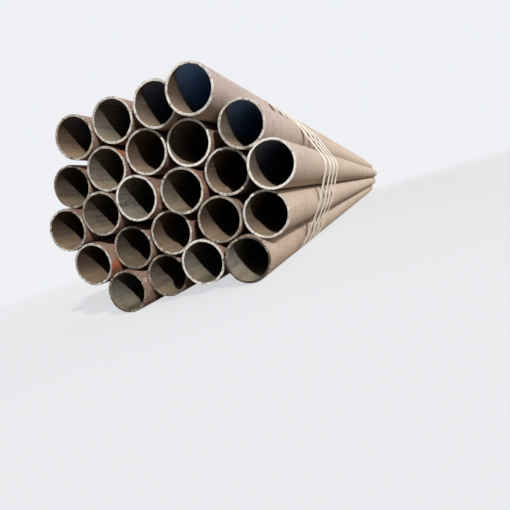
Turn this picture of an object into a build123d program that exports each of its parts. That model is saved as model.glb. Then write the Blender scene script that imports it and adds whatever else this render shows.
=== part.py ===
from build123d import *
import math
import os

# A strapped bundle of round steel pipes. Lengths are in millimetres.
# X runs across the bundle, Y along the pipes with the near ends at low Y, Z is up.
# The origin is on the floor, below the middle of the bundle.

# Pipes
pipe_diameter = 108.0
pipe_wall = 6.0
pipe_length = 6000.0
seat_gap = 0.3  # clearance where two pipes touch

# Steel straps
strap_width = 32.0
strap_thickness = 1.0
strap_gap = 0.3  # clearance between a strap and the pipes it lies on
lap_length = 90.0  # how far a strap's end lies over its start
notch_depth = 5.0  # crimped notches that hold the lap
notch_pitch = 30.0  # from one pair of notches to the next
notch_pairs = 2

# Where the straps lie. A group's first strap is this far in from the pipe ends, and its last
# strap this much further.
near_inset = 494.0
near_run = 305.0
far_inset = 470.0
far_run = 300.0

# Each strap's share of its group's run, and how far its top and its right side trail behind
# its middle, as angles
near_straps = [(0.0, 0.5, 0.5), (0.37, -0.5, 0.0), (0.7, 0.5, -1.0), (1.0, -0.5, 1.0)]
far_straps = [(0.0, -1.0, 0.5), (0.34, 1.0, -0.5), (0.63, -0.5, 1.0), (1.0, 1.5, -1.0)]

# How the pipes nest, row by row from the floor. The first pipe lies at the origin of the
# stack and the second beside it. Every later pipe lies against two placed ones, on the
# left of the line from the first to the second, with this much free space to each.
# A space of 0 means that the two touch.
first_pipe = "pipe_r1_1"
second_pipe = "pipe_r1_2"
second_space = 2.0
nesting = [
    ("pipe_r2_2", "pipe_r1_1", 4.5, "pipe_r1_2", 0.0),
    ("pipe_r2_3", "pipe_r2_2", 7.0, "pipe_r1_2", 3.5),
    ("pipe_r1_3", "pipe_r2_3", 1.5, "pipe_r1_2", 12.0),
    ("pipe_r2_4", "pipe_r2_3", 26.0, "pipe_r1_3", 0.0),
    ("pipe_r1_4", "pipe_r2_4", 4.5, "pipe_r1_3", 6.0),
    ("pipe_r2_5", "pipe_r2_4", 4.0, "pipe_r1_4", 0.0),
    ("pipe_r2_1", "pipe_r1_1", 0.0, "pipe_r2_2", 2.0),
    ("pipe_r3_4", "pipe_r2_3", 0.0, "pipe_r2_4", 0.0),
    ("pipe_r3_3", "pipe_r2_2", 21.0, "pipe_r2_3", 0.0),
    ("pipe_r3_2", "pipe_r2_2", 0.0, "pipe_r3_3", 3.5),
    ("pipe_r3_1", "pipe_r2_1", 0.0, "pipe_r3_2", 2.5),
    ("pipe_r3_5", "pipe_r3_4", 5.5, "pipe_r2_4", 0.0),
    ("pipe_r3_6", "pipe_r3_5", 3.5, "pipe_r2_5", 0.0),
    ("pipe_r4_3", "pipe_r3_3", 0.0, "pipe_r3_4", 20.5),
    ("pipe_r4_4", "pipe_r3_4", 0.0, "pipe_r3_5", 1.5),
    ("pipe_r4_2", "pipe_r3_2", 0.0, "pipe_r3_3", 3.0),
    ("pipe_r4_1", "pipe_r3_1", 0.0, "pipe_r3_2", 6.5),
    ("pipe_r4_5", "pipe_r3_5", 0.0, "pipe_r3_6", 2.0),
    ("pipe_r5_1", "pipe_r4_1", 14.5, "pipe_r4_2", 0.0),
    ("pipe_r5_2", "pipe_r4_2", 6.5, "pipe_r4_3", 0.0),
    ("pipe_r5_3", "pipe_r4_3", 1.5, "pipe_r4_4", 0.0),
    ("pipe_r5_4", "pipe_r4_4", 0.0, "pipe_r4_5", 2.0),
]
last_floor_pipe = "pipe_r1_4"

# How far the hindmost pipe has slid back from the foremost one, and each pipe's share of
# that, bottom row first
stagger = 111.0
slid_back = {
    1: [0.79, 1.00, 0.67, 0.54],
    2: [0.67, 0.89, 0.86, 0.72, 0.67],
    3: [0.66, 0.65, 0.55, 0.63, 0.76, 0.45],
    4: [0.84, 0.71, 0.73, 0.71, 0.59],
    5: [0.64, 0.66, 0.50, 0.00],
}

pipe_radius = pipe_diameter / 2


# The centre that is the stated distances from two others, on the left of the line a to b
def nested_centre(a, distance_a, b, distance_b):
    run = math.dist(a, b)
    along = (distance_a**2 - distance_b**2 + run**2) / (2 * run)
    across = math.sqrt(distance_a**2 - along**2)
    ux, uz = (b[0] - a[0]) / run, (b[1] - a[1]) / run
    return (a[0] + ux * along - uz * across, a[1] + uz * along + ux * across)


def centre_distance(space):
    return pipe_diameter + max(space, seat_gap)


# Pipe name to its (x, z) centre, with the two outer floor pipes at one height
def stack_centres():
    centres = {first_pipe: (0.0, 0.0)}
    centres[second_pipe] = (centre_distance(second_space), 0.0)
    for name, a, space_a, b, space_b in nesting:
        centres[name] = nested_centre(
            centres[a], centre_distance(space_a), centres[b], centre_distance(space_b)
        )
    end_x, end_z = centres[last_floor_pipe]
    turn = -math.atan2(end_z, end_x)
    cos_t, sin_t = math.cos(turn), math.sin(turn)
    return {n: (x * cos_t - z * sin_t, x * sin_t + z * cos_t) for n, (x, z) in centres.items()}


# Corners of the tight outline round the centres, counter-clockwise
def hull_corners(points):
    ordered = sorted(points)

    def chain(sequence):
        kept = []
        for p in sequence:
            while len(kept) > 1 and turn_of(kept[-2], kept[-1], p) <= 0:
                kept.pop()
            kept.append(p)
        return kept[:-1]

    return chain(ordered) + chain(reversed(ordered))


def turn_of(a, b, c):
    return (b[0] - a[0]) * (c[1] - a[1]) - (b[1] - a[1]) * (c[0] - a[0])


def row_and_place(name):
    row, place = name.removeprefix("pipe_r").split("_")
    return int(row), int(place)


def near_end(name):
    row, place = row_and_place(name)
    return stagger * slid_back[row][place - 1]


# Moves the stack so that the origin is on the floor below its middle
def settle(centres):
    reach = pipe_radius + strap_gap + strap_thickness
    xs = [x for x, z in centres.values()]
    zs = [z for x, z in centres.values()]
    middle_x = (min(xs) + max(xs)) / 2
    lift = reach - min(zs)
    return {n: (x - middle_x, z + lift) for n, (x, z) in centres.items()}


# A solid drawn as a face in X and Z, running back from y for the given length
def run_back(face, y, length):
    turned = Plane(origin=(0, y, 0), x_dir=(1, 0, 0), z_dir=(0, -1, 0))
    return extrude(turned * face, amount=-length)


def make_pipe(centre, y):
    ring = Circle(pipe_radius) - Circle(pipe_radius - pipe_wall)
    return run_back(Pos(*centre) * ring, y, pipe_length)


# The outline of the bundle, pushed out from the pipe centres by the given amount
def outline(corners, amount):
    return offset(make_face(Polyline(*corners, close=True)), amount=amount, kind=Kind.ARC)


# The slab between the two edges of a strap that leans back and to the side
def strap_slab(y, lean, skew, size):
    return Pos(0, y, size / 2) * Rot(-lean, 0, skew) * Box(3 * size, strap_width, 3 * size)


# The middle of a strap's outer face on the outline's side from corner a to corner b
def lap_location(a, b, y, lean, skew, size):
    normal = (Rot(-lean, 0, skew) * Pos(0, 1, 0)).position
    side = Vector(b[0] - a[0], 0, b[1] - a[1]).normalized()
    out = Vector(side.Z, 0, -side.X)
    reach = pipe_radius + strap_gap + strap_thickness
    middle = Vector((a[0] + b[0]) / 2, y, (a[1] + b[1]) / 2) + out * reach
    slip = normal.X * middle.X + normal.Z * (middle.Z - size / 2)
    middle = middle - Vector(0, slip / normal.Y, 0)
    along = (side - Vector(0, normal.dot(side) / normal.Y, 0)).normalized()
    return Location(Plane(origin=middle, x_dir=along, z_dir=out))


# One layer of strap round the bundle, its inner face at the given distance from the centres
def strap_layer(corners, reach, y, lean, skew, size):
    run = strap_width + size
    layer = outline(corners, reach + strap_thickness) - outline(corners, reach)
    return run_back(layer, y - run / 2, run) & strap_slab(y, lean, skew, size)


# One strap: a band round the bundle whose end laps over its start, held by notches
def make_strap(corners, lap_side, y, lean, skew):
    inner = pipe_radius + strap_gap
    size = max(z for x, z in corners) + inner
    place = lap_location(*lap_side, y, lean, skew, size)
    over = strap_layer(corners, inner + strap_thickness, y, lean, skew, size)
    over &= place * Box(lap_length, 2 * strap_width, 4 * strap_thickness)
    strap = strap_layer(corners, inner, y, lean, skew, size) + over
    notch_side = notch_depth * math.sqrt(2)
    notch = Rot(0, 0, 45) * Box(notch_side, notch_side, 6 * strap_thickness)
    first = -notch_pitch * (notch_pairs - 1) / 2
    for pair in range(notch_pairs):
        for edge in (-strap_width / 2, strap_width / 2):
            strap -= place * Pos(first + pair * notch_pitch, edge, 0) * notch
    return strap


centres = settle(stack_centres())
corners = hull_corners(list(centres.values()))
ends = [near_end(name) for name in centres]
half_run = (pipe_length + max(ends) + min(ends)) / 2
front_y = -half_run

# The laps are on the long side at the upper left, from the leftmost pipe to the top row
left_corner = corners.index(min(corners))
lap_side = (corners[left_corner - 1], corners[left_corner])

os.makedirs("parts", exist_ok=True)
for name, centre in centres.items():
    export_step(make_pipe(centre, front_y + near_end(name)), f"parts/{name}.step")

for number, (share, lean, skew) in enumerate(near_straps, 1):
    y = front_y + near_inset + near_run * share
    strap = make_strap(corners, lap_side, y, lean, skew)
    export_step(strap, f"parts/strap_near_{number}.step")

for number, (share, lean, skew) in enumerate(far_straps, 1):
    y = half_run - far_inset - far_run * share
    strap = make_strap(corners, lap_side, y, lean, skew)
    export_step(strap, f"parts/strap_far_{number}.step")
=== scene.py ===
import bpy
import math
import random
from mathutils import Matrix, Vector


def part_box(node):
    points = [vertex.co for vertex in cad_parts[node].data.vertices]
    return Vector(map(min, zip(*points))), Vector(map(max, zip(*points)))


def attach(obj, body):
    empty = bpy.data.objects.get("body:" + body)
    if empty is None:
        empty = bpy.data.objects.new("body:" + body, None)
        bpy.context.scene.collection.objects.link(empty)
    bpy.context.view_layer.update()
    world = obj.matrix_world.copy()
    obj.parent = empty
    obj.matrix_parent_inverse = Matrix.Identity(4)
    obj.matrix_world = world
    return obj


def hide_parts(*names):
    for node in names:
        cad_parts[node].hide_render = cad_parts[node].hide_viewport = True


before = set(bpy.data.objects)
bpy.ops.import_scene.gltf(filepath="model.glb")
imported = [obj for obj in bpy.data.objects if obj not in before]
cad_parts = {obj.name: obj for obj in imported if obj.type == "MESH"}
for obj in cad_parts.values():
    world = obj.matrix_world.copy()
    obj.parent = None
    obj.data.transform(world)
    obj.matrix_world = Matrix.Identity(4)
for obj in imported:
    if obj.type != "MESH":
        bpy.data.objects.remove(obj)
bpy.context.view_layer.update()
print("frame loaded:", len(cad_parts), "nodes")

viewpoint = {
    "place": (0.49987, -3.94707, 0.14241),
    "turn": (85.154, 16.965, 17.042),  # degrees; rolled, so that the level bundle slopes in view
    "lens": 32.27,
    "sensor": 36.0,
    "farLimit": 100.0,
}


def addCamera():
    data = bpy.data.cameras.new("viewCamera")
    data.lens = viewpoint["lens"]
    data.sensor_width = viewpoint["sensor"]
    data.clip_end = viewpoint["farLimit"]
    camera = bpy.data.objects.new("viewCamera", data)
    camera.location = viewpoint["place"]
    camera.rotation_euler = [math.radians(a) for a in viewpoint["turn"]]
    bpy.context.scene.collection.objects.link(camera)
    bpy.context.scene.camera = camera


addCamera()
print("camera placed")


# A node socket that can be added, multiplied and so on like a number
class Shade:
    def __init__(self, finish, socket):
        self.finish = finish
        self.socket = socket

    def __add__(self, other):
        return self.finish.maths("ADD", self, other)

    def __sub__(self, other):
        return self.finish.maths("SUBTRACT", self, other)

    def __mul__(self, other):
        return self.finish.maths("MULTIPLY", self, other)

    def __pow__(self, other):
        return self.finish.maths("POWER", self, other)

    def __rsub__(self, other):
        return self.finish.maths("SUBTRACT", other, self)

    __radd__ = __add__
    __rmul__ = __mul__


# A material and its nodes
class Finish:
    def __init__(self, name):
        self.material = bpy.data.materials.new(name)
        self.material.use_nodes = True
        self.tree = self.material.node_tree
        self.shader = self.tree.nodes["Principled BSDF"]

    # Adds a node: its settings first, then a value or a link for each socket
    def add(self, kind, settings=None, sockets=None, output=0):
        node = self.tree.nodes.new("ShaderNode" + kind)
        for key, value in (settings or {}).items():
            setattr(node, key, value)
        for key, value in (sockets or {}).items():
            self.feed(node.inputs[key], value)
        return Shade(self, node.outputs[output])

    def feed(self, socket, value):
        if isinstance(value, Shade):
            self.tree.links.new(value.socket, socket)
        else:
            socket.default_value = value

    def maths(self, operation, first, second):
        return self.add("Math", {"operation": operation}, {0: first, 1: second})

    # 0 at the first limit, 1 at the second, smooth between. The first may be the higher one.
    def step(self, value, limits):
        sockets = {"Value": value, "From Min": limits[0], "From Max": limits[1]}
        return self.add("MapRange", {"interpolation_type": "SMOOTHSTEP"}, sockets)

    def noise(self, place, stretch, scale, detail, roughness):
        vector = self.add("Mapping", None, {"Vector": place, "Scale": stretch})
        sockets = {"Vector": vector, "Scale": scale, "Detail": detail, "Roughness": roughness}
        return self.add("TexNoise", None, sockets)

    # Mixes two colours. A mix node has its colours at sockets 6 and 7, and the result at 2.
    def mix(self, amount, first, second):
        return self.add("Mix", {"data_type": "RGBA"}, {0: amount, 6: first, 7: second}, 2)

    # An attribute of the mesh, read as a Color, Vector, Fac or Alpha
    def stored(self, name, output):
        return self.add("Attribute", {"attribute_name": name}, None, output)

    # The noises that a finish's dictionary lists, by name
    def makePatterns(self, look, place):
        return {name: self.noise(place, *row) for name, row in look["patterns"].items()}

    # Lays the dictionary's layers over a base colour, one by one
    def layOver(self, base, look, patterns, colours, masks):
        for name, limits, colour, strength, *masked in look["layers"]:
            if masked:
                strength = ramped(masks[masked[0]], strength, masked[1])
            amount = self.step(patterns[name], limits) * strength
            base = self.mix(amount, base, colours[colour])
        return base

    # Feeds the shader: the dictionary says which patterns roughen and which lift the surface
    def shade(self, look, base, patterns, rougher=0.0):
        rough = look["roughness"] + rougher
        for name, amount in look["roughened"].items():
            rough = (patterns[name] - 0.5) * amount + rough
        height = sum(patterns[name] * share for name, share in look["lifted"].items())
        sockets = {"Height": height, "Distance": look["depth"], "Strength": look["relief"]}
        values = {
            "Base Color": base,
            "Roughness": rough,
            "Metallic": look["metallic"],
            "Specular IOR Level": look["specular"],
            "Normal": self.add("Bump", None, sockets),
        }
        for key, value in values.items():
            self.feed(self.shader.inputs[key], value)


# A number that begins at start where a mask is 0 and has changed by this much where it is 1
def ramped(mask, start, change):
    return mask * change + start


# Colours are written as seen on a screen, 0 to 255, and stored as light
def paint(red, green, blue):
    return tuple([(c / 255) ** 2.2 for c in (red, green, blue)] + [1.0])


pipe = {
    "radius": 0.054,
    "wall": 0.006,
    "length": 6.0,
    "sides": 120,
    "endRings": (0.0015, 0.004, 0.009, 0.02, 0.05, 0.12, 0.3),  # metres from each end
    "cutBevel": 0.0004,
    "bevelSteps": 2,
    "bevelAbove": 60,  # degrees between two faces
    "smoothBelow": 35,
    "sawWave": 0.0006,
    "waveSize": 0.012,
    "waveReach": 1.5,  # bevels from an end
    "cutReach": 1.6,
    "dentsPerEnd": 7,
    "dentDepth": 0.0016,
    "dentShares": (0.4, 1.0),  # least and most of that depth
    "dentReach": (0.004, 0.009),
    "patternShift": 0.37,  # metres from one pipe's patterns to the next one's
    "neighbourReach": 3,  # radii between two axes
    "creviceReach": 0.005,
    "creviceFall": 0.7,
    "paintedSkySide": (0.9, 0.45),  # where the painted sky tint on an outside faces, across and up
    "paintedSkyEdge": 3,
    "rustSpread": 24,  # degrees; a rusty patch is this wide and fades over as much on both sides
}

# How each pipe differs: tan or reddish outside, brown or grey inside, clean or dull cut end,
# how rusty it is near its ends, how much painted sky tint it takes, and how dim its bore. Each
# runs from 0 to about 1.
pipeLooks = {
    "pipe_r1_1": (0.9, 0.62, 1.1, 0.35, 0.0, 0.7),
    "pipe_r1_2": (0.9, 0.3, 0.95, 0.2, 0.0, 0.65),
    "pipe_r1_3": (0.9, 0.55, 0.22, 0.15, 0.0, 0.55),
    "pipe_r1_4": (0.28, 0.68, 1.3, 0.0, 0.0, 0.1),
    "pipe_r2_1": (0.9, 0.0, 0.5, 1.0, 0.0, 0.72),
    "pipe_r2_2": (1.0, 0.2, 0.75, 0.3, 0.0, 1.0),
    "pipe_r2_3": (1.0, 0.0, 0.5, 0.2, 0.0, 0.15),
    "pipe_r2_4": (0.9, 0.1, 0.68, 0.2, 0.0, 0.25),
    "pipe_r2_5": (0.1, 0.2, 0.3, 0.0, 0.0, 0.2),
    "pipe_r3_1": (1.0, 0.0, 0.58, 0.3, 0.0, 0.6),
    "pipe_r3_2": (1.0, 0.3, 0.6, 0.2, 0.0, 0.6),
    "pipe_r3_3": (1.0, 0.8, 0.2, 0.2, 0.0, 0.7),
    "pipe_r3_4": (1.0, 0.3, 0.48, 0.3, 0.0, 0.35),
    "pipe_r3_5": (0.8, 0.1, 0.42, 0.15, 0.0, 0.15),
    "pipe_r3_6": (0.05, 0.2, 0.07, 0.1, 0.3, 0.0),
    "pipe_r4_1": (1.0, 0.2, 0.95, 0.6, 0.0, 0.9),
    "pipe_r4_2": (1.0, 0.4, 0.5, 1.0, 0.0, 0.25),
    "pipe_r4_3": (0.9, 0.0, 0.36, 0.3, 0.0, 0.2),
    "pipe_r4_4": (0.8, 0.3, 0.02, 0.15, 0.0, 0.3),
    "pipe_r4_5": (0.1, 0.2, 0.4, 0.0, 0.7, 0.0),
    "pipe_r5_1": (0.8, 0.0, 0.66, 0.15, 0.1, 0.1),
    "pipe_r5_2": (0.8, 0.4, 0.4, 0.2, 0.05, 0.15),
    "pipe_r5_3": (0.6, 0.2, 0.3, 0.0, 0.25, 0.2),
    "pipe_r5_4": (0.2, 0.1, 0.27, 0.05, 1.0, 0.0),
}

# Pipes with rust on one side only near their ends, as degrees up from the right
rustSides = {"pipe_r2_1": -17, "pipe_r4_2": 30, "pipe_r4_1": 40}


# Where a point lies from its pipe's own axis and near end
def pipeOffset(finish):
    return finish.stored("fromAxis", "Vector")


# The same, moved on sideways for each pipe, so that no two pipes share a pattern
def pipePlace(finish):
    sockets = {0: pipeOffset(finish), 1: finish.stored("shift", "Vector")}
    return finish.add("VectorMath", {"operation": "ADD"}, sockets)


def partOf(finish, vector, axis):
    return finish.add("SeparateXYZ", None, {"Vector": vector}, axis)


# The attribute looks is a colour whose red, green and blue are how red a pipe is outside, how
# grey inside and how dull at its ends. Its alpha is how rusty the pipe is.
def pipeTone(finish, channel):
    sockets = {"Color": finish.stored("looks", "Color")}
    return finish.add("SeparateColor", None, sockets, channel)


# 1 at a cut end, falling to 0 this far along the pipe
def nearEnds(finish, place, reach):
    along = partOf(finish, place, "Y")
    near = finish.step(along, (0.0, reach))
    return 1 - near + finish.step(along, (pipe["length"] - reach, pipe["length"]))


# In each finish, a pattern's row gives its stretch across, along and up, its scale, its detail
# and its roughness. A layer's row gives its pattern, the pattern's limits, its colour, how
# strong it is, and often a mask and how much stronger it is where the mask is 1.
millScale = {
    "tan": paint(181, 163, 144),
    "red": paint(130, 102, 90),
    # The grey is a painted sky tint on the upper right side near the near end
    "grey": paint(168, 152, 146),
    "dark": paint(88, 68, 60),
    "pale": paint(204, 186, 170),
    "rust": paint(150, 88, 60),
    "deepRust": paint(100, 62, 48),
    "mark": paint(112, 82, 74),
    # Dirt and painted shade where pipes touch
    "creviceShadeDirt": paint(26, 19, 16),
    "patterns": {
        "clouds": ((1, 0.35, 1), 9.0, 5.0, 0.6),
        "blotches": ((1, 0.25, 1), 38.0, 4.0, 0.6),
        "streaks": ((1, 0.06, 1), 110.0, 3.0, 0.6),
        "grain": ((1, 0.3, 1), 420.0, 3.0, 0.6),
        "rolled": ((0.2, 1, 0.2), 90.0, 3.0, 0.6),
        "flecks": ((1, 0.4, 1), 150.0, 2.0, 0.5),
        "patches": ((1, 1, 1), 22.0, 6.0, 0.65),
        "scrapes": ((1, 0.6, 1), 34.0, 3.0, 0.6),
        "marks": ((1, 0.5, 1), 62.0, 5.0, 0.7),
    },
    "layers": (
        ("clouds", (0.5, 0.78), "dark", 0.4),
        ("clouds", (0.48, 0.2), "pale", 0.3),
        ("blotches", (0.5, 0.72), "dark", 0.0, "redness", 0.5),
        ("blotches", (0.45, 0.25), "pale", 0.0, "redness", 0.3),
        ("streaks", (0.5, 0.75), "dark", 0.1, "redness", 0.25),
        ("rolled", (0.5, 0.75), "dark", 0.16),
        ("rolled", (0.5, 0.25), "pale", 0.2),
        ("flecks", (0.68, 0.76), "dark", 0.35),
        ("marks", (0.54, 0.66), "mark", 0.0, "ends", 0.5),
        ("scrapes", (0.6, 0.7), "pale", 0.0, "redEnds", 0.7),
    ),
    "redMiddle": 0.35,  # how much of its redness a pipe keeps far from its ends
    "redReach": 0.6,  # metres from a cut end
    "paintedSkyReach": 0.8,
    "rustReach": 0.3,
    "rustSwell": 0.14,
    "rustLimits": (0.52, 0.64),
    "deepRustLimits": (0.42, 0.6),
    "creviceStrength": 0.95,
    "roughness": 0.64,
    "roughened": {"grain": 0.22, "clouds": 0.16},
    "rustRoughness": 0.3,
    "lifted": {"grain": 0.5, "streaks": 0.3, "rolled": 0.5},
    "depth": 0.0003,
    "relief": 0.55,
    "metallic": 0.0,
    "specular": 0.3,
}


# Hot-rolled outside of a pipe: brownish scale, cloudy and streaked along, with a little rust,
# greyer on its upper right side near the near end with a painted sky tint, and darker where it
# touches its neighbours with dirt and painted shade
def makeMillScale():
    look = millScale
    finish = Finish("millScale")
    place = pipePlace(finish)
    patterns = finish.makePatterns(look, place)
    nearness = nearEnds(finish, place, look["redReach"])
    redness = pipeTone(finish, "Red") * ramped(nearness, look["redMiddle"], 1 - look["redMiddle"])
    # Greyer on the upper right side near the near end: a painted sky tint
    paintedSkyGrey = finish.stored("paintedSkyTint", "Fac") * nearEnds(finish, place, look["paintedSkyReach"])
    ends = nearEnds(finish, place, look["rustReach"])
    masks = {"redness": redness, "ends": ends, "redEnds": ends * redness}
    base = finish.mix(redness, look["tan"], look["red"])
    base = finish.mix(paintedSkyGrey, base, look["grey"])
    base = finish.layOver(base, look, patterns, look, masks)
    rustiness = finish.stored("looks", "Alpha")
    rustSpots = finish.step(patterns["patches"] + rustiness * look["rustSwell"], look["rustLimits"])
    rust = rustSpots * rustiness * ends
    deepness = finish.step(patterns["blotches"], look["deepRustLimits"])
    base = finish.mix(rust, base, finish.mix(deepness, look["rust"], look["deepRust"]))
    # Darker where pipes touch: dirt and painted shade
    shadeAndDirt = finish.stored("creviceShadeDirt", "Fac") * look["creviceStrength"]
    base = finish.mix(shadeAndDirt, base, look["creviceShadeDirt"])
    finish.shade(look, base, patterns, rust * look["rustRoughness"])
    return finish.material


# Where a row gives a pair, the first is how strong something is and the second how much more
# it is where a mask is 1
boreScale = {
    "brown": paint(84, 69, 60),
    "grey": paint(94, 96, 93),
    "tan": paint(166, 142, 115),
    "paleTan": paint(162, 151, 125),
    "dark": paint(38, 34, 32),
    "warm": paint(136, 114, 96),
    "pale": paint(164, 161, 150),
    "dim": paint(14, 11, 9),
    # The painted sky reflection in the bore's shade, from low to high
    "paintedSkyLow": paint(96, 94, 96),
    "paintedSkyHigh": paint(122, 178, 255),
    "patterns": {
        "streaks": ((1, 0.03, 1), 210.0, 3.0, 0.6),
        "scratches": ((1, 0.05, 1), 460.0, 3.0, 0.6),
        "bands": ((1, 0.03, 1), 30.0, 3.0, 0.5),
        "clouds": ((1, 0.5, 1), 24.0, 5.0, 0.6),
        "specks": ((1, 1, 1), 260.0, 2.0, 0.5),
        "scuffs": ((1, 0.6, 1), 190.0, 5.0, 0.75),
    },
    "layers": (
        ("bands", (0.48, 0.68), "dark", 0.3, "greyness", 0.35),
        ("clouds", (0.5, 0.75), "dark", 0.3, "greyness", 0.2),
        ("streaks", (0.5, 0.72), "light", 0.2, "greyness", 0.35),
        ("scuffs", (0.52, 0.6), "pale", 0.0, "veryGrey", 0.95),
        ("streaks", (0.48, 0.26), "dark", 0.35),
        ("scratches", (0.56, 0.7), "pale", 0.15, "greyness", 0.1),
        ("specks", (0.66, 0.74), "pale", 0.15, "greyness", 0.2),
    ),
    "nearEndReach": 0.13,  # metres from a cut end
    "endPaintedLight": (0.36, 0.2),  # painted light near the ends; the mask is the greyness
    "topLimits": (-0.03, 0.036),  # metres up from the axis
    "topPaintedShade": (0.35, -0.2),
    "lowLimits": (0.008, -0.044),
    "lowDustAndLight": (0.55, 0.35),  # dust and painted light; the mask is how near the ends are
    "greyDustAndLight": (1.0, -0.2),
    "dimness": (0.56, -0.12),
    "shadeLimits": (1.01, 1.1),  # bore radii
    "skyDepth": 0.1,  # metres into the bore at which the painted sky tint goes by height alone
    "skySlope": 0.2,
    "skyLimits": (-0.012, 0.056),
    "roughness": 0.5,
    "roughened": {"clouds": 0.3},
    "lifted": {"streaks": 1.0, "specks": 0.5},
    "depth": 0.0003,
    "relief": 0.4,
    "metallic": 0.0,
    "specular": 0.2,
}

keyWay = Vector((-0.631, 0.694, -0.346))  # the way the key light travels


# 1 where the key light doesn't reach into a bore, 0 where it does: a point is traced back
# against the light to the plane of the near end
def boreShade(finish):
    offset = pipeOffset(finish)
    bore = pipe["radius"] - pipe["wall"]
    deep = partOf(finish, offset, "Y")
    across = partOf(finish, offset, "X") - deep * (keyWay.x / keyWay.y)
    up = partOf(finish, offset, "Z") - deep * (keyWay.z / keyWay.y)
    limits = [bore * limit for limit in boreScale["shadeLimits"]]
    return finish.step((across * across + up * up) ** 0.5, limits)


# Inside of a pipe: dark scale with fine drawn streaks, darker towards the top with painted shade,
# paler near the ends with painted light, tan at the bottom near the ends with dust and painted
# light, and for some pipes a painted sky reflection, bluer upwards, where the key light doesn't
# reach
def makeBoreScale():
    look = boreScale
    finish = Finish("boreScale")
    place = pipePlace(finish)
    patterns = finish.makePatterns(look, place)
    height = partOf(finish, place, "Z")
    greyness = pipeTone(finish, "Green")
    ends = nearEnds(finish, place, look["nearEndReach"])
    paintedSkyTint = finish.stored("paintedSkyTint", "Fac")
    masks = {"greyness": greyness, "veryGrey": greyness * greyness}
    light = finish.mix(greyness, look["warm"], look["pale"])
    base = finish.mix(greyness, look["brown"], look["grey"])
    # Paler near the ends, darker deeper in: painted light
    base = finish.mix(ends * ramped(greyness, *look["endPaintedLight"]), base, light)
    # Darker towards the top of the bore: painted shade
    paintedTopShade = ramped(greyness, *look["topPaintedShade"]) * (1 - paintedSkyTint)
    base = finish.mix(finish.step(height, look["topLimits"]) * paintedTopShade, base, look["dark"])
    # Paler and tan towards the bottom near the ends: dust and painted light
    lowDustLightColour = finish.mix(greyness, look["tan"], look["paleTan"])
    lowDustLightShare = ramped(ends, *look["lowDustAndLight"]) * ramped(greyness, *look["greyDustAndLight"])
    base = finish.mix(finish.step(height, look["lowLimits"]) * lowDustLightShare, base, lowDustLightColour)
    base = finish.layOver(base, look, patterns, {**look, "light": light}, masks)
    dimness = finish.stored("dim", "Fac") * ramped(ends, *look["dimness"])
    base = finish.mix(dimness, base, look["dim"])
    # A painted sky reflection where the key light doesn't reach into the bore: blue high, dark grey
    # low
    skyward = (partOf(finish, place, "Y") - look["skyDepth"]) * look["skySlope"] + height
    paintedSkyColour = finish.mix(finish.step(skyward, look["skyLimits"]), look["paintedSkyLow"], look["paintedSkyHigh"])
    base = finish.mix(paintedSkyTint * boreShade(finish), base, paintedSkyColour)
    finish.shade(look, base, patterns)
    return finish.material


cutSteel = {
    "clean": paint(220, 216, 207),
    "dull": paint(128, 116, 97),
    "dark": paint(62, 52, 44),
    "pale": paint(228, 222, 208),
    "rust": paint(136, 102, 66),
    "patterns": {
        "patches": ((1, 0.2, 1), 60.0, 4.0, 0.6),
        "nicks": ((1, 0.2, 1), 240.0, 3.0, 0.65),
        "chips": ((1, 0.2, 1), 120.0, 3.0, 0.55),
        "burrs": ((1, 0.2, 1), 190.0, 3.0, 0.6),
        "stains": ((1, 0.2, 1), 30.0, 4.0, 0.6),
        "wiped": ((1, 0.2, 1), 42.0, 4.0, 0.65),
        "shaded": ((1, 0.2, 1), 13.0, 3.0, 0.6),
    },
    "layers": (
        ("stains", (0.56, 0.7), "rust", 0.45),
        ("wiped", (0.5, 0.62), "pale", 0.0, "dullness", 0.5),
        ("burrs", (0.53, 0.64), "pale", 0.15, "dullness", 0.5),
        ("nicks", (0.52, 0.6), "dark", 0.2, "dullness", 0.5),
        ("chips", (0.6, 0.7), "dark", 0.7),
        ("shaded", (0.46, 0.6), "dark", 0.0, "dullness", 0.75),
    ),
    "swell": {"stains": 0.1, "nicks": 0.05, "chips": 0.1},  # wider patterns on a dull end
    "dullPatches": 1.3,
    "dullLimits": (0.05, 0.95),
    "roughness": 0.5,
    "roughened": {},
    "dullRoughness": 0.2,
    "lifted": {"nicks": 1.0, "chips": 1.0},
    "depth": 0.0004,
    "relief": 0.6,
    "metallic": 0.1,
    "specular": 0.5,
}


# Saw-cut end of a pipe: bare steel, dulled in patches, with dark nicks and bright burrs
def makeCutSteel():
    look = cutSteel
    finish = Finish("cutSteel")
    patterns = finish.makePatterns(look, pipePlace(finish))
    dullness = pipeTone(finish, "Blue")
    patchy = dullness + (patterns["patches"] - 0.5) * look["dullPatches"]
    dulled = finish.step(patchy, look["dullLimits"])
    base = finish.mix(dulled, look["clean"], look["dull"])
    swollen = {name: patterns[name] + dullness * more for name, more in look["swell"].items()}
    base = finish.layOver(base, look, {**patterns, **swollen}, look, {"dullness": dullness})
    finish.shade(look, base, patterns, dulled * look["dullRoughness"])
    return finish.material


strapSteel = {
    "bright": paint(236, 230, 218),
    "worn": paint(204, 197, 182),
    "dark": paint(112, 102, 88),
    "patterns": {
        "lines": ((0.05, 1, 0.05), 900.0, 2.0, 0.5),
        "scuffs": ((1, 1, 1), 45.0, 5.0, 0.65),
        "specks": ((1, 1, 1), 320.0, 3.0, 0.6),
    },
    "layers": (
        ("scuffs", (0.48, 0.7), "worn", 0.6),
        ("lines", (0.5, 0.8), "worn", 0.3),
        ("specks", (0.64, 0.74), "dark", 0.4),
    ),
    "roughness": 0.4,
    "roughened": {"scuffs": 0.3},
    "lifted": {"lines": 1.0},
    "depth": 0.00015,
    "relief": 0.5,
    "metallic": 0.15,
    "specular": 0.5,
}


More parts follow.
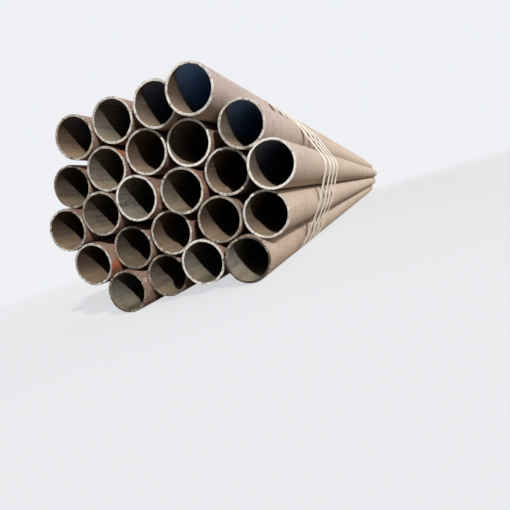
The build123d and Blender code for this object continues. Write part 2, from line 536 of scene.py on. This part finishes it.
# Steel strap: pale zinc with fine rolling lines, scuffs and a little dirt
def makeStrapSteel():
    look = strapSteel
    finish = Finish("strapSteel")
    patterns = finish.makePatterns(look, finish.add("TexCoord", output="Object"))
    base = finish.layOver(look["bright"], look, patterns, look, {})
    finish.shade(look, base, patterns)
    return finish.material


finishes = {
    "millScale": makeMillScale(),
    "boreScale": makeBoreScale(),
    "cutSteel": makeCutSteel(),
    "strapSteel": makeStrapSteel(),
}
print("finishes made:", ", ".join(finishes))


def deselectAll():
    if bpy.context.object and bpy.context.object.mode != "OBJECT":
        bpy.ops.object.mode_set(mode="OBJECT")
    bpy.ops.object.select_all(action="DESELECT")


def selectOnly(piece):
    deselectAll()
    piece.select_set(True)
    bpy.context.view_layer.objects.active = piece


def applyModifiers(piece):
    selectOnly(piece)
    for modifier in list(piece.modifiers):
        bpy.ops.object.modifier_apply(modifier=modifier.name)


# One plain pipe, its near end at the origin: a tube given its wall, rings near both ends
# and softened cut edges
def modelPipe():
    deselectAll()
    bpy.ops.mesh.primitive_cylinder_add(
        vertices=pipe["sides"],
        radius=pipe["radius"],
        depth=pipe["length"],
        end_fill_type="NOTHING",
        location=(0, pipe["length"] / 2, 0),
        rotation=(math.pi / 2, 0, 0),
    )
    tube = bpy.context.object
    tube.name = "plainPipe"
    bpy.ops.object.transform_apply(location=True, rotation=True, scale=True)
    wall = tube.modifiers.new("wall", "SOLIDIFY")
    wall.thickness = pipe["wall"]
    wall.offset = -1
    wall.use_even_offset = True
    applyModifiers(tube)
    bpy.ops.object.mode_set(mode="EDIT")
    bpy.ops.mesh.select_all(action="SELECT")
    bpy.ops.mesh.normals_make_consistent(inside=False)
    for inset in pipe["endRings"]:
        for place in (inset, pipe["length"] - inset):
            bpy.ops.mesh.select_all(action="SELECT")
            bpy.ops.mesh.bisect(plane_co=(0, place, 0), plane_no=(0, 1, 0))
    bpy.ops.object.mode_set(mode="OBJECT")
    edge = tube.modifiers.new("cutEdge", "BEVEL")
    edge.width = pipe["cutBevel"]
    edge.segments = pipe["bevelSteps"]
    edge.limit_method = "ANGLE"
    edge.angle_limit = math.radians(pipe["bevelAbove"])
    applyModifiers(tube)
    return tube


plainPipe = modelPipe()
print("plain pipe:", len(plainPipe.data.polygons), "faces")


# Presses small dents into the rims of both ends
def dentRims(piece, chance):
    selectOnly(piece)
    bpy.ops.object.mode_set(mode="EDIT")
    bpy.ops.mesh.select_mode(type="VERT")
    for end in (0.0, pipe["length"]):
        for _ in range(pipe["dentsPerEnd"]):
            angle = chance.uniform(0, 2 * math.pi)
            edge = chance.choice((pipe["radius"], pipe["radius"] - pipe["wall"]))
            inward = -1 if edge == pipe["radius"] else 1
            out = Vector((math.cos(angle), 0, math.sin(angle)))
            pickNearest(piece, out * edge + Vector((0, end, 0)))
            push = out * inward * pipe["dentDepth"] * chance.uniform(*pipe["dentShares"])
            bpy.ops.transform.translate(
                value=push,
                use_proportional_edit=True,
                proportional_edit_falloff="SMOOTH",
                proportional_size=chance.uniform(*pipe["dentReach"]),
            )
    bpy.ops.object.mode_set(mode="OBJECT")


# Leaves only the point nearest to a spot selected
def pickNearest(piece, spot):
    bpy.ops.mesh.select_all(action="DESELECT")
    bpy.ops.object.mode_set(mode="OBJECT")
    nearest = min(piece.data.vertices, key=lambda v: (v.co - spot).length_squared)
    nearest.select = True
    bpy.ops.object.mode_set(mode="EDIT")


# How far a point is from the nearer end of a pipe that begins at the origin
def endDistance(point):
    return min(abs(point.y), abs(point.y - pipe["length"]))


# Gives the cut ends the slight waves a saw leaves
def waveEnds(piece, texture):
    ends = piece.vertex_groups.new(name="cutEnds")
    reach = pipe["cutBevel"] * pipe["waveReach"]
    picked = [v.index for v in piece.data.vertices if endDistance(v.co) < reach]
    ends.add(picked, 1.0, "REPLACE")
    wave = piece.modifiers.new("sawWave", "DISPLACE")
    wave.texture = texture
    wave.texture_coords = "LOCAL"
    wave.direction = "NORMAL"
    wave.mid_level = 1.0  # only ever inwards
    wave.strength = pipe["sawWave"]
    wave.vertex_group = ends.name
    applyModifiers(piece)
    piece.vertex_groups.clear()


def isInside(offset):
    return math.hypot(offset.x, offset.z) < pipe["radius"] - pipe["wall"] / 2


# Gives each face its finish: outside, bore, or cut end
def assignFinishes(piece):
    for name in ("millScale", "boreScale", "cutSteel"):
        piece.data.materials.append(finishes[name])
    reach = pipe["cutBevel"] * pipe["cutReach"]
    for face in piece.data.polygons:
        if endDistance(face.center) < reach:
            face.material_index = 2
        else:
            face.material_index = 1 if isInside(face.center) else 0


def clamped(value):
    return min(max(value, 0.0), 1.0)


# How much of a pipe's painted sky tint shows: only in its near half, there all of it in the bore
# and on the upper right side
def paintedSkyShare(offset):
    if offset.y > pipe["length"] / 2:
        return 0.0
    if isInside(offset):
        return 1.0
    across, up = pipe["paintedSkySide"]
    facing = (across * offset.x + up * offset.z) / math.hypot(offset.x, offset.z)
    return clamped(pipe["paintedSkyEdge"] * facing + 0.5)


# How much of a pipe's rust shows: all of it, or for some only what lies on one side
def rustShare(offset, node):
    if node not in rustSides:
        return 1.0
    turned = math.degrees(math.atan2(offset.z, offset.x)) - rustSides[node]
    return clamped(1.5 - abs((turned + 180) % 360 - 180) / pipe["rustSpread"])


# Each pipe's neighbours: where their axes lie across the bundle, and how far back they begin
def neighbourAxes(node):
    axes = []
    ownLow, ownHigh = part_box(node)
    for other in pipeLooks:
        low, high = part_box(other)
        away = (low + high - ownLow - ownHigh) / 2
        near = math.hypot(away.x, away.z) < pipe["neighbourReach"] * pipe["radius"]
        if other != node and near:
            axes.append(((low.x + high.x) / 2, (low.z + high.z) / 2, low.y))
    return axes


# How near a point on a pipe's outside is to a neighbour: 1 touching, 0 past creviceReach. It
# darkens the outside there with dirt and painted shade
def creviceShare(point, axes):
    beside = [(x, z) for x, z, begins in axes if point.y > begins]
    gaps = [math.hypot(point.x - x, point.z - z) - pipe["radius"] for x, z in beside]
    closeness = clamped(1 - min(gaps, default=1) / pipe["creviceReach"])
    return closeness ** pipe["creviceFall"]


def store(piece, name, kind, field, values):
    piece.data.attributes.new(name, kind, "POINT")
    piece.data.attributes[name].data.foreach_set(field, values)


# Stores what the finishes read: each point's place, the pipe's looks, its painted sky tint, and
# the dirt and painted shade where pipes touch
def writeAttributes(piece, place, node, number):
    looks = pipeLooks[node]
    axes = neighbourAxes(node)
    offsets = [vertex.co - place for vertex in piece.data.vertices]
    flat = [part for offset in offsets for part in offset]
    shift = (number * pipe["patternShift"], 0.0, 0.0)
    tones = [t for offset in offsets for t in (*looks[:3], looks[3] * rustShare(offset, node))]
    paintedSkyTint = [looks[4] * paintedSkyShare(offset) for offset in offsets]
    crevices = [creviceShare(vertex.co, axes) for vertex in piece.data.vertices]
    store(piece, "fromAxis", "FLOAT_VECTOR", "vector", flat)
    store(piece, "shift", "FLOAT_VECTOR", "vector", shift * len(offsets))
    store(piece, "looks", "FLOAT_COLOR", "color", tones)
    store(piece, "paintedSkyTint", "FLOAT", "value", paintedSkyTint)
    store(piece, "dim", "FLOAT", "value", looks[5:] * len(offsets))
    store(piece, "creviceShadeDirt", "FLOAT", "value", crevices)


# Copies the plain pipe to a node's place, rolled about its axis, and wears it
def placePipe(node, number, texture):
    low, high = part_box(node)
    place = Vector(((low.x + high.x) / 2, low.y, (low.z + high.z) / 2))
    chance = random.Random(number)
    piece = plainPipe.copy()
    piece.data = plainPipe.data.copy()
    piece.name = node.replace("pipe_", "steelPipe_")
    bpy.context.scene.collection.objects.link(piece)
    dentRims(piece, chance)
    piece.data.transform(Matrix.Rotation(chance.uniform(0, 2 * math.pi), 4, "Y"))
    waveEnds(piece, texture)
    assignFinishes(piece)
    piece.data.transform(Matrix.Translation(place))
    selectOnly(piece)
    bpy.ops.object.shade_smooth_by_angle(angle=math.radians(pipe["smoothBelow"]))
    writeAttributes(piece, place, node, number)
    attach(piece, "root")
    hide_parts(node)


def placePipes():
    texture = bpy.data.textures.new("sawWave", "CLOUDS")
    texture.noise_scale = pipe["waveSize"]
    for number, node in enumerate(sorted(pipeLooks)):
        placePipe(node, number, texture)
    bpy.data.objects.remove(plainPipe)


placePipes()
print("pipes placed:", len(pipeLooks))


def finishStraps():
    for name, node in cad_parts.items():
        if name.startswith("strap_"):
            node.data.materials.clear()
            node.data.materials.append(finishes["strapSteel"])


finishStraps()
print("straps finished")

studio = {
    "floorSize": 120.0,
    "floorDrop": 0.0005,
    "floorColour": paint(232, 232, 232),
    "floorBounce": paint(146, 132, 118),  # what the bundle's underside gets back from it
    "floorRoughness": 0.9,
    "floorSpecular": 0.1,
    "backdrop": paint(238, 240, 243),
    "fade": (0.5, 7.0),  # metres from the middle
    "nearFade": 0.6,
    "skyFill": (0.85, 0.83, 0.84, 1.0),
    "skyLevel": 0.14,
    # The way each sun's light travels, its power, its softness in degrees, and whether it shows
    # as gloss
    "suns": {
        "keyLight": (keyWay, 4.25, 2.0, True),
        "leftFill": ((0.9, -0.3, -0.08), 2.4, 60.0, False),
        "rightFill": ((-0.9, -0.4, -0.05), 1.4, 60.0, False),
        "backFill": ((-0.3, -0.95, -0.05), 1.8, 60.0, False),
        "frontFill": ((0.75, 0.6, 0.1), 0.85, 60.0, False),
    },
    "sunColours": {"frontFill": (0.42, 0.72, 1.0)},  # the others are white
}


def addSun(name, way, power, softness, gloss):
    data = bpy.data.lights.new(name, "SUN")
    data.energy = power
    data.color = studio["sunColours"].get(name, (1, 1, 1))
    data.angle = math.radians(softness)
    lamp = bpy.data.objects.new(name, data)
    lamp.visible_glossy = gloss
    lamp.rotation_euler = Vector(way).to_track_quat("-Z", "Y").to_euler()
    bpy.context.scene.collection.objects.link(lamp)


# The background shows in its own colour, and its light on the bundle is a soft, even fill
def lightWorld():
    world = bpy.data.worlds.new("studio")
    world.use_nodes = True
    bpy.context.scene.world = world
    tree = world.node_tree
    background = tree.nodes["Background"]
    rays = tree.nodes.new("ShaderNodeLightPath")
    level = tree.nodes.new("ShaderNodeMapRange")
    level.inputs["To Min"].default_value = 1.0
    level.inputs["To Max"].default_value = studio["skyLevel"]
    tree.links.new(rays.outputs["Is Diffuse Ray"], level.inputs["Value"])
    tree.links.new(level.outputs[0], background.inputs["Strength"])
    colour = tree.nodes.new("ShaderNodeMix")
    colour.data_type = "RGBA"
    colour.inputs[6].default_value = studio["backdrop"]
    colour.inputs[7].default_value = studio["skyFill"]
    tree.links.new(rays.outputs["Is Diffuse Ray"], colour.inputs[0])
    tree.links.new(colour.outputs[2], background.inputs["Color"])


# The floor as it is lit, mixed with the background's glow: partly near the bundle, wholly far
# from it, and for the camera only
def makeFloorFinish():
    finish = Finish("studioFloor")
    place = finish.add("TexCoord", output="Object")
    away = finish.add("VectorMath", {"operation": "LENGTH"}, {0: place}, "Value")
    seen = finish.add("LightPath", output="Is Camera Ray")
    far = finish.step(away, studio["fade"])
    fade = ramped(far, studio["nearFade"], 1 - studio["nearFade"]) * seen
    glow = finish.add("Emission", None, {"Color": studio["backdrop"], "Strength": 1.0})
    colour = finish.mix(seen, studio["floorBounce"], studio["floorColour"])
    finish.feed(finish.shader.inputs["Base Color"], colour)
    finish.feed(finish.shader.inputs["Roughness"], studio["floorRoughness"])
    finish.feed(finish.shader.inputs["Specular IOR Level"], studio["floorSpecular"])
    lit = Shade(finish, finish.shader.outputs[0])
    both = finish.add("MixShader", None, {0: fade, 1: lit, 2: glow})
    finish.feed(finish.tree.nodes["Material Output"].inputs["Surface"], both)
    return finish.material


def addFloor():
    deselectAll()
    place = (0, 0, -studio["floorDrop"])
    bpy.ops.mesh.primitive_plane_add(size=studio["floorSize"], location=place)
    floor = bpy.context.object
    floor.name = "studioFloor"
    floor.data.materials.append(makeFloorFinish())


lightWorld()
addFloor()
for name, sun in studio["suns"].items():
    addSun(name, *sun)
bpy.context.scene.view_settings.view_transform = "Standard"
print("studio lit")
